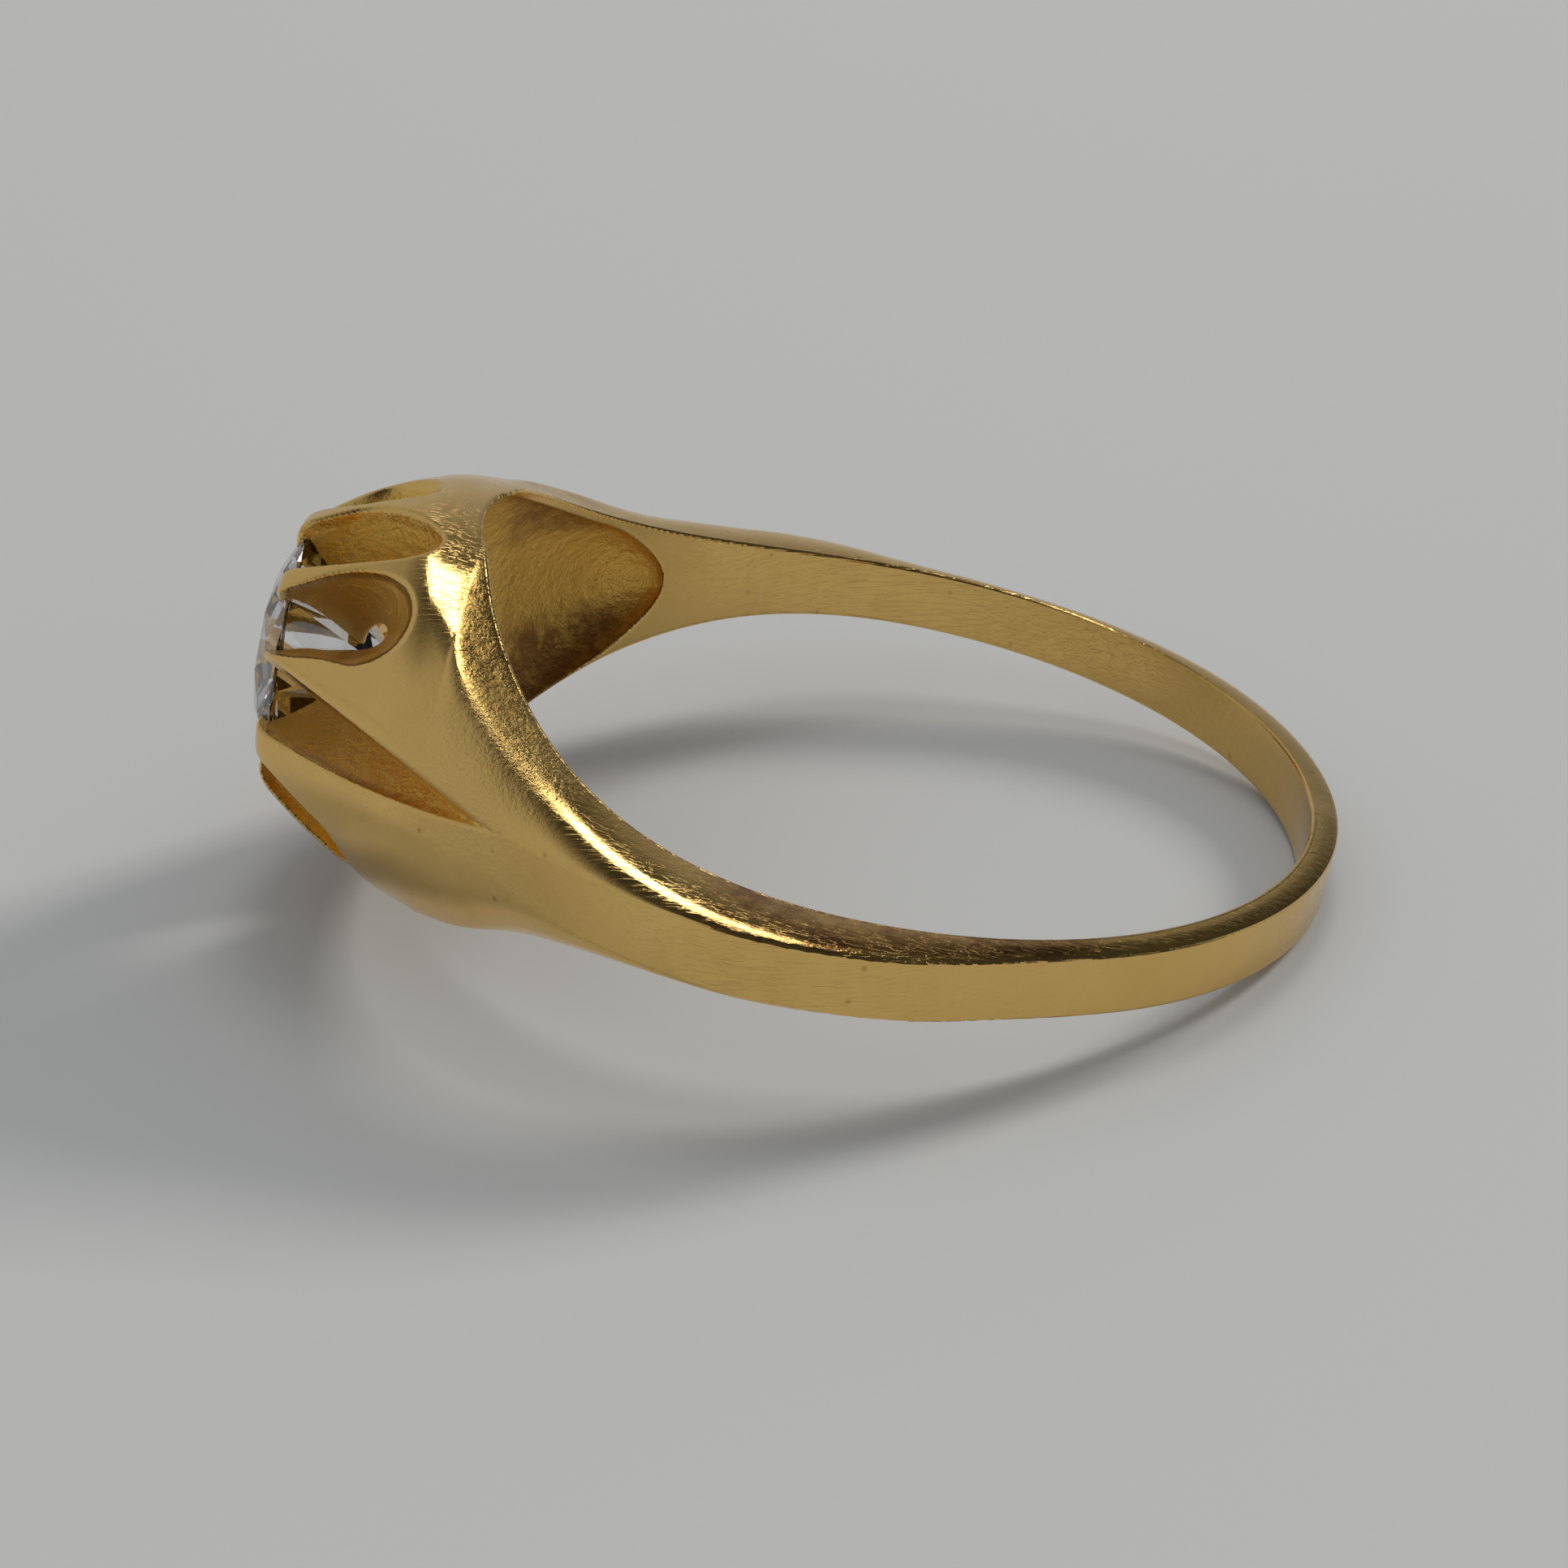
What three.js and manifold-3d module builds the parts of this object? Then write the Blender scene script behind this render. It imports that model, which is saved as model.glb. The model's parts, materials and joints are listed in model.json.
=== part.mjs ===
// Engagement ring: one round brilliant held by claws cut from a hollow gold head.
// Millimetres. The ring is built with its finger hole on Z and the stone towards -X,
// then it is tipped to lie on a table on the back of its shank and the belly of its head.
// Angles round the finger hole run from the back of the shank (0) to the stone (half turn).

import * as THREE from 'three';
import { mergeVertices } from 'three/addons/utils/BufferGeometryUtils.js';
import Module from 'manifold-3d';

const wasm = await Module();
wasm.setup();

const HALF_TURN = Math.PI;
const FULL_TURN = 2 * Math.PI;
const degrees = THREE.MathUtils.degToRad;

// Driving sizes of the band
const boreRadius = 8.6;
const backThickness = 0.57;
const shoulderThickness = 1.55;
const bandHalfWidth = 0.76;
const edgeRound = 0.16;

// Where the band swells and flares, as angles round the finger hole
const swellStart = degrees(60);
const swellEnd = degrees(122);
const flareStart = degrees(90);
const planeSectionStart = degrees(70);
const planeSectionEnd = degrees(112);

// The shoulders' full sections turn into the head's round ones near the finger hole's edge
const shoulderFullnessShare = 2.8;
const shoulderFormInset = 1.6;
const headFormRise = 0.6;

// Driving sizes of the head, which is a little deeper on the side that lies on the table
const headHeight = 3.82;
const headHalfWidth = 4.0;
const bellyExtra = 0.3;
const topForm = { halfWidth: headHalfWidth, bulge: 0.24, flareShare: 1.7 };
const bellyForm = { halfWidth: headHalfWidth + bellyExtra, bulge: 0.4, flareShare: 1.55 };

// Driving sizes of the claws, and of the gaps between them, measured down from the claw tips
const clawCount = 10;
const clawThickness = 0.3;
const clawHalfWidth = 0.14;
const shoulderClawWidth = 0.21;
const clawOverhang = 0.22;
const endGap = { depth: 3.0, straight: 1.82, roundShare: 2, slopeShare: 0.3 };
const cornerGap = { depth: 2.67, straight: 1.57, roundShare: 2, slopeShare: 0.3 };
const shoulderGap = { depth: 4.67, straight: 2.62, roundShare: 1.4, slopeShare: 0.5 };
const gapInnerShare = 0.25;

// Hollow under the stone and the scooped shoulders
const rimWall = 0.2;
const clawWall = 0.46;
const hollowHeight = 2.2;
const hollowStraight = 1.25;
const scoopApex = degrees(128.6);
const scoopRound = degrees(12);
const scoopOverlap = 0.5;
const scoopRim = 0.3;
const scoopDepth = 0.8;
const scoopStartShare = 0.02;
const scoopSpacingShare = 1.5;

// Round brilliant
const stoneRadius = 2.4;
const crownHeight = 0.5;
const pavilionDepth = 2.06;
const girdleThickness = 0.08;
const tableShare = 0.62;
const starShare = 0.55;
const lowerHalfShare = 0.77;
const stoneSides = 8;
const seatClearance = 0.03;

// Solder seams between the head and the shank
const seamAngle = degrees(112);
const solderThickness = 0.1;
const seamClearance = 0.02;

// Wear where the ring lies on a table
const contactWear = 0.04;

// One overrun serves every cut, and these set the number of facets
const overrun = 2;
const backSteps = 26;
const shoulderSteps = 14;
const headSteps = 26;
const frontSteps = 7;
const faceSteps = 9;
const hollowSteps = 4;
const domeSteps = 7;
const hollowSides = 40;
const scoopSteps = 16;
const scoopSides = 24;
const arcSteps = 7;
const tiltSteps = 40;

// Worked out from the driving sizes
const backRadius = boreRadius + backThickness;
const shoulderRadius = boreRadius + shoulderThickness;
const outerFaceHalfWidth = bandHalfWidth - edgeRound;
const clawTipDistance = boreRadius + headHeight;
const clawRingRadius = stoneRadius + clawThickness;
const girdleDistance = clawTipDistance - clawOverhang;
const clawPitch = FULL_TURN / clawCount;
const tipAngle = HALF_TURN - Math.atan2(clawRingRadius, clawTipDistance);
const tangentAngle = tipAngle - Math.acos(shoulderRadius / Math.hypot(clawRingRadius, clawTipDistance));
const reach = clawTipDistance + overrun;

function smooth(from, to, value) {
  const t = THREE.MathUtils.clamp((value - from) / (to - from), 0, 1);
  return t * t * (3 - 2 * t);
}

// Angle from the back of the shank, the same on both sides
function foldAngle(angle) {
  const turned = ((angle % FULL_TURN) + FULL_TURN) % FULL_TURN;
  return turned > HALF_TURN ? FULL_TURN - turned : turned;
}

// Half width of the ring where it meets the finger hole
function rimHalfWidth(angle, form) {
  const t = Math.max(0, (foldAngle(angle) - flareStart) / (HALF_TURN - flareStart));
  const rise = (1 - Math.cos(HALF_TURN * t ** form.flareShare)) / 2;
  return bandHalfWidth + (form.halfWidth - bandHalfWidth) * rise;
}

// Side outline: a circle that swells to the shoulders, then a straight line to the claw ring
function outlineRadius(angle) {
  const folded = foldAngle(angle);
  if (folded >= tipAngle) return clawTipDistance / Math.cos(HALF_TURN - folded);
  const swell = smooth(swellStart, swellEnd, folded);
  const circle = backRadius + (shoulderRadius - backRadius) * swell;
  return circle / Math.cos(Math.max(0, folded - tangentAngle));
}

// Half width of the head above the stone's axis, at a distance out from the finger's axis
function headProfile(distance, form = topForm) {
  const t = (distance - boreRadius) / (clawTipDistance - boreRadius);
  const straight = form.halfWidth + (clawRingRadius - form.halfWidth) * t;
  return straight + form.bulge * 4 * t * (1 - t);
}

// Half width of the side outline at a distance out from the finger's axis
function sideHalfWidth(distance) {
  const lineLimit = shoulderRadius * Math.cos(HALF_TURN - tangentAngle);
  if (distance <= lineLimit) return Math.sqrt(shoulderRadius ** 2 - distance ** 2);
  const slope = 1 / Math.tan(HALF_TURN - tangentAngle);
  return clawRingRadius + (clawTipDistance - distance) * slope;
}

// Half height of the gold at a place on the side view, by sections square to the stone's axis
function planeSectionHeight(angle, radius, form) {
  const distance = -radius * Math.cos(angle);
  const side = Math.abs(radius * Math.sin(angle));
  const limit = Math.max(sideHalfWidth(distance), side);
  const inside = Math.min(distance, boreRadius);
  const rimSide = Math.sqrt(boreRadius ** 2 - inside ** 2);
  const top = distance >= boreRadius
    ? headProfile(distance, form)
    : rimHalfWidth(Math.acos(-inside / boreRadius), form);
  const squares = (side ** 2 - rimSide ** 2) / (limit ** 2 - rimSide ** 2);
  const headFall = Math.sqrt(Math.max(0, 1 - squares));
  const t = THREE.MathUtils.clamp((side - rimSide) / (limit - rimSide), 0, 1);
  const shoulderFall = (1 - t ** shoulderFullnessShare) ** (1 / shoulderFullnessShare);
  const share = smooth(boreRadius - shoulderFormInset, boreRadius + headFormRise, distance);
  const fall = shoulderFall + (headFall - shoulderFall) * share;
  return outerFaceHalfWidth + (top - outerFaceHalfWidth) * fall;
}

// Half height of the gold by sections through the finger's axis, as on the plain band
function bandSectionHeight(angle, radius, form) {
  const t = (radius - boreRadius) / (outlineRadius(angle) - boreRadius);
  const fall = Math.sqrt(Math.max(0, 1 - t * t));
  return outerFaceHalfWidth + (rimHalfWidth(angle, form) - outerFaceHalfWidth) * fall;
}

function goldHalfHeight(angle, radius, form) {
  const share = smooth(planeSectionStart, planeSectionEnd, foldAngle(angle));
  if (share === 0) return bandSectionHeight(angle, radius, form);
  if (share === 1) return planeSectionHeight(angle, radius, form);
  const band = bandSectionHeight(angle, radius, form);
  return band + (planeSectionHeight(angle, radius, form) - band) * share;
}

// Closed mesh from loops of points that follow each other, joined end to end or capped
function loft(loops, joined) {
  const count = loops[0].length;
  const positions = loops.flat().flatMap((p) => [p.x, p.y, p.z]);
  const index = [];
  const last = joined ? loops.length : loops.length - 1;
  for (let i = 0; i < last; i++) {
    const a = i * count;
    const b = ((i + 1) % loops.length) * count;
    for (let j = 0; j < count; j++) {
      const k = (j + 1) % count;
      index.push(a + j, b + j, b + k, a + j, b + k, a + k);
    }
  }
  if (!joined) {
    const end = (loops.length - 1) * count;
    const contour = (loop, flip) => {
      const middle = loop.reduce((sum, p) => sum.add(p), new THREE.Vector3()).divideScalar(count);
      const centre = positions.length / 3;
      positions.push(middle.x, middle.y, middle.z);
      const start = flip ? end : 0;
      for (let j = 0; j < count; j++) {
        const k = (j + 1) % count;
        if (flip) index.push(centre, start + k, start + j);
        else index.push(centre, start + j, start + k);
      }
    };
    contour(loops[0], false);
    contour(loops[loops.length - 1], true);
  }
  const geometry = new THREE.BufferGeometry();
  geometry.setAttribute('position', new THREE.Float32BufferAttribute(positions, 3));
  geometry.setIndex(index);
  return geometry;
}

function solidFrom(source, matrix) {
  const bare = source.clone();
  bare.deleteAttribute('normal');
  bare.deleteAttribute('uv');
  if (matrix) bare.applyMatrix4(matrix);
  const merged = mergeVertices(bare);
  const solid = new wasm.Manifold(new wasm.Mesh({
    numProp: 3,
    vertProperties: new Float32Array(merged.attributes.position.array),
    triVerts: new Uint32Array(merged.index.array),
  }));
  return solid;
}

// A loft whose faces may come out inside out is turned so that it holds a positive volume
function solidFromLoft(loops, joined) {
  const geometry = loft(loops, joined);
  const index = geometry.index.array;
  const position = geometry.attributes.position;
  const a = new THREE.Vector3();
  const b = new THREE.Vector3();
  const c = new THREE.Vector3();
  let volume = 0;
  for (let i = 0; i < index.length; i += 3) {
    a.fromBufferAttribute(position, index[i]);
    b.fromBufferAttribute(position, index[i + 1]);
    c.fromBufferAttribute(position, index[i + 2]);
    volume += a.dot(b.cross(c));
  }
  if (volume < 0) geometry.setIndex(Array.from(index).reverse());
  return solidFrom(geometry);
}

function geometryFrom(solid) {
  const mesh = solid.getMesh();
  const geometry = new THREE.BufferGeometry();
  geometry.setAttribute('position', new THREE.BufferAttribute(new Float32Array(mesh.vertProperties), 3));
  geometry.setIndex(new THREE.BufferAttribute(new Uint32Array(mesh.triVerts), 1));
  return geometry;
}

// Section angles, closer together where the head is
function sectionAngles() {
  const half = [];
  for (let i = 0; i < backSteps; i++) half.push(flareStart * i / backSteps);
  for (let i = 0; i < shoulderSteps; i++) {
    half.push(flareStart + (tangentAngle - flareStart) * i / shoulderSteps);
  }
  for (let i = 0; i < headSteps; i++) {
    half.push(tangentAngle + (tipAngle - tangentAngle) * i / headSteps);
  }
  for (let i = 0; i < frontSteps; i++) half.push(tipAngle + (HALF_TURN - tipAngle) * i / frontSteps);
  half.push(HALF_TURN);
  const other = half.slice(1, -1).reverse().map((angle) => FULL_TURN - angle);
  return half.concat(other);
}

function ringPoint(angle, radius, height) {
  return new THREE.Vector3(radius * Math.cos(angle), radius * Math.sin(angle), height);
}

// The whole outer form before anything is cut from it, with the finger hole through it
function makeBlank() {
  const loops = sectionAngles().map((angle) => {
    const outer = outlineRadius(angle);
    const upper = [];
    const lower = [];
    for (let j = 0; j <= faceSteps; j++) {
      const share = Math.sin(HALF_TURN / 2 * j / faceSteps);
      const radius = boreRadius + (outer - boreRadius) * share;
      upper.push(ringPoint(angle, radius, goldHalfHeight(angle, radius, topForm)));
      lower.push(ringPoint(angle, radius, -goldHalfHeight(angle, radius, bellyForm)));
    }
    return upper.concat(lower.reverse());
  });
  return solidFromLoft(loops, true);
}

// Turns a lathe's own axis to the stone's axis, which runs towards -X
const alongStone = new THREE.Matrix4().makeRotationZ(HALF_TURN / 2);

function latheAlongStone(profile, sides) {
  const points = profile.map(([radius, distance]) => new THREE.Vector2(radius, distance));
  return solidFrom(new THREE.LatheGeometry(points, sides), alongStone);
}

// Domed hollow under the stone, a little inside the head's outer profile and open to the finger hole
function makeHollow() {
  const start = boreRadius - overrun;
  const domeHeight = hollowHeight - hollowStraight;
  const radiusAt = (share) => headProfile(boreRadius + hollowStraight * share) - rimWall
    - (clawWall - rimWall) * share;
  const profile = [[0, start], [radiusAt(0), start]];
  for (let i = 0; i <= hollowSteps; i++) {
    const share = i / hollowSteps;
    profile.push([radiusAt(share), boreRadius + hollowStraight * share]);
  }
  for (let i = 1; i < domeSteps; i++) {
    const turn = HALF_TURN / 2 * i / domeSteps;
    const distance = boreRadius + hollowStraight + domeHeight * Math.sin(turn);
    profile.push([radiusAt(1) * Math.cos(turn), distance]);
  }
  profile.push([0, boreRadius + hollowHeight]);
  return latheAlongStone(profile, hollowSides);
}

// Room for the stone with its clearance, open to the front
function makeSeat() {
  const tableRadius = stoneRadius * tableShare + seatClearance;
  return latheAlongStone([
    [0, girdleDistance - girdleThickness / 2 - pavilionDepth - 2 * seatClearance],
    [stoneRadius + seatClearance, girdleDistance - girdleThickness / 2 - seatClearance],
    [stoneRadius + seatClearance, girdleDistance + girdleThickness / 2 + seatClearance],
    [tableRadius, girdleDistance + crownHeight + seatClearance],
    [0, girdleDistance + crownHeight + seatClearance],
  ], hollowSides);
}

// Scoop in the inside of one shoulder, with a round end towards the back
function makeScoop(side) {
  const loops = [];
  const hollowHalfWidth = headHalfWidth - rimWall - scoopOverlap;
  const scoopEnd = HALF_TURN - Math.asin(hollowHalfWidth / boreRadius);
  for (let i = 0; i <= scoopSteps; i++) {
    const along = scoopStartShare + (1 - scoopStartShare) * (i / scoopSteps) ** scoopSpacingShare;
    const angle = scoopApex + (scoopEnd - scoopApex) * along;
    const t = Math.min(1, (angle - scoopApex) / scoopRound);
    const round = Math.sqrt(1 - (1 - t) ** 2);
    const halfHeight = (rimHalfWidth(angle, topForm) - scoopRim) * round;
    const depth = scoopDepth * round;
    const loop = [];
    for (let j = 0; j < scoopSides; j++) {
      const turn = FULL_TURN * j / scoopSides;
      const radius = boreRadius + depth * Math.cos(turn);
      loop.push(ringPoint(side * angle, radius, halfHeight * Math.sin(turn)));
    }
    loops.push(loop);
  }
  return solidFromLoft(loops, false);
}

// Outline of one gap between claws: distance along the stone's axis, and half width across
function gapOutline(gap, halfWidthAt) {
  const straight = clawTipDistance - gap.straight;
  const floor = clawTipDistance - gap.depth;
  const mouth = halfWidthAt(clawTipDistance);
  const half = [[reach, mouth], [clawTipDistance, mouth]];
  for (let i = 0; i < arcSteps; i++) {
    const t = Math.sin(HALF_TURN / 2 * i / arcSteps);
    const width = halfWidthAt(straight) * Math.sqrt(1 - t ** gap.roundShare);
    half.push([straight + (floor - straight) * t, width]);
  }
  const mirrored = half.map(([distance, width]) => [distance, -width]).reverse();
  return half.concat([[floor, 0]], mirrored);
}

// A gap in the head narrows towards the stone's axis; one in a shoulder keeps its width.
// Its floor slopes, so that it is shallower on the inside.
function makeGap(middleAngle) {
  const apex = clawHalfWidth / Math.sin(clawPitch / 2);
  const sideways = Math.abs(Math.sin(middleAngle));
  const inShoulder = sideways > Math.cos(clawPitch / 2);
  const headGap = sideways > Math.sin(clawPitch) ? cornerGap : endGap;
  const shoulderHalfWidth = clawRingRadius * Math.sin(clawPitch / 2) - shoulderClawWidth;
  const headHalfWidth = (distance) => headProfile(distance) * Math.tan(clawPitch / 2) - clawHalfWidth;
  const gap = inShoulder ? shoulderGap : headGap;
  const outline = gapOutline(gap, inShoulder ? () => shoulderHalfWidth : headHalfWidth);
  const outerRadius = inShoulder ? clawTipDistance : bellyForm.halfWidth + overrun;
  const across = new THREE.Vector3(0, Math.cos(middleAngle), -Math.sin(middleAngle));
  const outward = new THREE.Vector3(0, Math.sin(middleAngle), Math.cos(middleAngle));
  const loops = [stoneRadius * gapInnerShare, outerRadius].map((radius) => outline.map(([distance, width]) => {
    const surface = inShoulder ? sideHalfWidth(distance) : headProfile(Math.min(distance, clawTipDistance));
    const share = inShoulder ? 1 : (radius - apex) / (surface - apex);
    return new THREE.Vector3(-distance - gap.slopeShare * (surface - radius), 0, 0)
      .addScaledVector(outward, radius)
      .addScaledVector(across, width * share);
  }));
  return solidFromLoft(loops, false);
}

function makeGaps() {
  const gaps = [];
  for (let i = 0; i < clawCount; i++) gaps.push(makeGap(clawPitch * i + clawPitch / 2));
  return gaps;
}

// Slice of the ring between two radial planes that stand back from the seam by an offset
function makeSector(offset, towardsHead) {
  const direction = new THREE.Vector2(Math.cos(seamAngle), Math.sin(seamAngle));
  const push = new THREE.Vector2(-direction.y, direction.x).multiplyScalar(towardsHead ? offset : -offset);
  const start = new THREE.Vector2(push.x - push.y * direction.x / direction.y, 0);
  const far = direction.clone().multiplyScalar(2 * reach).add(push);
  const wide = towardsHead ? -2 * reach : 2 * reach;
  const shape = new THREE.Shape([
    start,
    new THREE.Vector2(far.x, -far.y),
    new THREE.Vector2(wide, -far.y),
    new THREE.Vector2(wide, far.y),
    new THREE.Vector2(far.x, far.y),
  ]);
  const height = 2 * (bellyForm.halfWidth + overrun);
  const geometry = new THREE.ExtrudeGeometry(shape, { depth: height, bevelEnabled: false });
  return solidFrom(geometry, new THREE.Matrix4().makeTranslation(0, 0, -height / 2));
}

function makeSeamSlice(side) {
  const size = 2 * (bellyForm.halfWidth + overrun);
  const matrix = new THREE.Matrix4().makeRotationZ(side * seamAngle);
  const out = new THREE.Matrix4().makeTranslation(shoulderRadius, 0, 0);
  return solidFrom(new THREE.BoxGeometry(size, solderThickness, size), matrix.multiply(out));
}

// Lowest point of a solid when the ring is tipped by an angle about Y
function lowestPoint(solid, tilt) {
  const points = solid.getMesh().vertProperties;
  let lowest = Infinity;
  for (let i = 0; i < points.length; i += 3) {
    lowest = Math.min(lowest, points[i + 2] * Math.cos(tilt) - points[i] * Math.sin(tilt));
  }
  return lowest;
}

// Tilt at which the belly of the head and the back of the shank touch the table together
function restTilt(head, shank) {
  let low = 0;
  let high = HALF_TURN / 4;
  for (let i = 0; i < tiltSteps; i++) {
    const middle = (low + high) / 2;
    if (lowestPoint(shank, middle) > lowestPoint(head, middle)) low = middle;
    else high = middle;
  }
  return (low + high) / 2;
}

// Block under the table plane, in the ring's own frame
function makeTableCut(tilt, level) {
  const size = 4 * reach;
  const toRing = new THREE.Matrix4().makeRotationY(-tilt);
  const down = new THREE.Matrix4().makeTranslation(0, 0, level - size / 2);
  return solidFrom(new THREE.BoxGeometry(size, size, size), toRing.multiply(down));
}

// Round brilliant with its girdle at zero and its table upwards
function brilliantGeometry() {
  const step = FULL_TURN / stoneSides;
  const edge = girdleThickness / 2;
  const tableRadius = stoneRadius * tableShare;
  const narrow = Math.cos(step / 2);
  const starHeight = crownHeight * starShare;
  const starRadius = (stoneRadius - (stoneRadius - tableRadius) * starShare) / narrow;
  const lowerRadius = stoneRadius * (1 - lowerHalfShare) / narrow;
  const at = (radius, turn, height) => [radius * Math.cos(turn), height, radius * Math.sin(turn)];
  const points = [at(0, 0, crownHeight + edge), at(0, 0, -pavilionDepth - edge)];
  const ring = (count, radius, shift, height) => {
    const first = points.length;
    for (let k = 0; k < count; k++) points.push(at(radius, shift + k * FULL_TURN / count, height));
    return (k) => first + ((k % count) + count) % count;
  };
  const table = ring(stoneSides, tableRadius, 0, crownHeight + edge);
  const star = ring(stoneSides, starRadius, step / 2, starHeight + edge);
  const upper = ring(2 * stoneSides, stoneRadius, 0, edge);
  const lower = ring(2 * stoneSides, stoneRadius, 0, -edge);
  const half = ring(stoneSides, lowerRadius, step / 2, -pavilionDepth * lowerHalfShare - edge);
  const index = [];
  for (let k = 0; k < stoneSides; k++) {
    const g = 2 * k;
    index.push(0, table(k + 1), table(k));
    index.push(table(k), table(k + 1), star(k));
    index.push(table(k), star(k), upper(g), table(k), upper(g), star(k - 1));
    index.push(star(k), upper(g + 1), upper(g), star(k), upper(g + 2), upper(g + 1));
    for (const side of [g, g + 1]) {
      index.push(upper(side), upper(side + 1), lower(side + 1), upper(side), lower(side + 1), lower(side));
    }
    index.push(half(k), lower(g), lower(g + 1), half(k), lower(g + 1), lower(g + 2));
    index.push(1, lower(g), half(k), 1, half(k - 1), lower(g));
  }
  const geometry = new THREE.BufferGeometry();
  geometry.setAttribute('position', new THREE.Float32BufferAttribute(points.flat(), 3));
  geometry.setIndex(index);
  return geometry;
}

function makeMaterial(colour, roughness, metalness) {
  return new THREE.MeshStandardMaterial({ color: colour, roughness, metalness });
}

const gold = makeMaterial(0xc8a04a, 0.2, 1);
const solder = makeMaterial(0xd2b070, 0.3, 1);
const diamond = makeMaterial(0xeef2f6, 0.02, 0);

const blank = makeBlank();
const standBack = solderThickness / 2 + seamClearance;
let head = blank.intersect(makeSector(standBack, true));
head = head.subtract(makeHollow());
for (const side of [1, -1]) head = head.subtract(makeScoop(side));
for (const gap of makeGaps()) head = head.subtract(gap);
head = head.subtract(makeSeat());
let shank = blank.intersect(makeSector(standBack, false));

const tilt = restTilt(head, shank);
const tableLevel = lowestPoint(shank, tilt) + contactWear;
const tableCut = makeTableCut(tilt, tableLevel);
head = head.subtract(tableCut);
shank = shank.subtract(tableCut);

const ring = new THREE.Group();

function addPiece(name, geometry, material) {
  const piece = new THREE.Mesh(geometry, material);
  piece.name = name;
  ring.add(piece);
  return piece;
}

addPiece('head', geometryFrom(head), gold);
addPiece('shank', geometryFrom(shank), gold);
addPiece('solder_seam_far', geometryFrom(blank.intersect(makeSeamSlice(1))), solder);
addPiece('solder_seam_near', geometryFrom(blank.intersect(makeSeamSlice(-1))), solder);
const stone = addPiece('stone', brilliantGeometry(), diamond);
stone.rotation.z = HALF_TURN / 2;
stone.position.x = -girdleDistance;

// The ring lies on the table plane, centred over the origin
ring.rotation.y = tilt;
ring.updateMatrixWorld(true);
const box = new THREE.Box3().setFromObject(ring, true);
ring.position.set(-(box.min.x + box.max.x) / 2, 0, -tableLevel);

const part = new THREE.Group();
part.add(ring);

export default part;
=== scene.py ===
# Looks for the engagement ring. The gold is grown as one smooth field in the ring's own frame:
# millimetres, finger hole on Z, stone towards -X, side towards the camera at -Y.
import json
import math

import bmesh
import bpy
import numpy as np
from mathutils import Matrix, Vector

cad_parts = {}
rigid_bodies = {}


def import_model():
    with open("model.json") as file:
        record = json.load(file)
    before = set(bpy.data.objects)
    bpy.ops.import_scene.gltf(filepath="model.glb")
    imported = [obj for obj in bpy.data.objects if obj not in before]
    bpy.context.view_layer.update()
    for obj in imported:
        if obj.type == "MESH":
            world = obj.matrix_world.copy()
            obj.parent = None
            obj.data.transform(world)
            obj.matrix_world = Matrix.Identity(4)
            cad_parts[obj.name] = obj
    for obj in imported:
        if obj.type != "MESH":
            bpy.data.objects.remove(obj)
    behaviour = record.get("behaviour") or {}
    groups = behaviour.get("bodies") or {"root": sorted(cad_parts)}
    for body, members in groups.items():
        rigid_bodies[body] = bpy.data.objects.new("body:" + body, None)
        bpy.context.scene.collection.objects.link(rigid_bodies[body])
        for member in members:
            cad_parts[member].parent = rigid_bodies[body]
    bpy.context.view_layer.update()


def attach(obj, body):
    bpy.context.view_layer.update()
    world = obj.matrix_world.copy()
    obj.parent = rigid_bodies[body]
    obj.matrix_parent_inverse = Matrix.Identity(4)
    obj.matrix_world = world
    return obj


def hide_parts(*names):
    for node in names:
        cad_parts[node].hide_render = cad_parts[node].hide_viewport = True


for leftover in list(bpy.data.objects):
    bpy.data.objects.remove(leftover)

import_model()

MM = 0.001
PI = math.pi

# How the ring lies on the table
REST_TILT = 0.200905
RING_ORIGIN = (1.8377, 0.0, 2.4573)
REST_HEIGHT = RING_ORIGIN[2]
REST_SIN = math.sin(REST_TILT)
REST_COS = math.cos(REST_TILT)

# The band and the shoulders
BORE = 8.6
BACK_RADIUS = BORE + 0.57
SHOULDER_RADIUS = BORE + 1.55
BAND_HALF = 0.76
EDGE_ROUND = 0.16
FACE_HALF = BAND_HALF - EDGE_ROUND
FACE_DIP = 0.3
FACE_DIP_AT = 7.2
FACE_DIP_LONG = 1.3
FACE_FAR = 0.18
RIM_EDGE = 0.07
INNER_SLOPE = 0.12
INNER_SOFT = 0.3
CREST_RISE = 0.05
SWELL = (math.radians(60), math.radians(122))
SWELL_FAR = (math.radians(85), math.radians(132))
FLARE_START = math.radians(80)
SECTION_TURN = (math.radians(70), math.radians(112))
FULLNESS = (1.4, 1.8, 2.6)
FULLNESS_TURN = (math.radians(82), math.radians(108), math.radians(128), math.radians(150))
FORM_TURN = (BORE - 1.6, BORE + 0.6)
FACE_FAR_TURN = (-8, -2)
FAR_TURN = (-0.5, 0.5)
CREST_FADE = 1.5
TINY = 1e-6
LEAST = 0.1

# The head above and below: half width at the finger hole, bulge, flare exponent, droop at the rim
HEAD_TOP = (3.88, 0.27, 1.75, 0.16)
HEAD_BELLY = (4.3, 0.4, 1.6, -1.0)
RIM_SOFT = 0.4
DROOP_TURN = (-0.1, 0.34)
LOWER_RIM = (2.1, 1.5)
LOWER_SLOPE = 0.9
LOWER_TURN = (1.9, 2.5)
TIP_SOFT = 0.3
TIP = BORE + 3.82
STONE_RADIUS = 2.4
CLAW_RING = STONE_RADIUS + 0.3
TIP_ANGLE = PI - math.atan2(CLAW_RING, TIP)
TANGENT = TIP_ANGLE - math.acos(SHOULDER_RADIUS / math.hypot(CLAW_RING, TIP))

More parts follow.
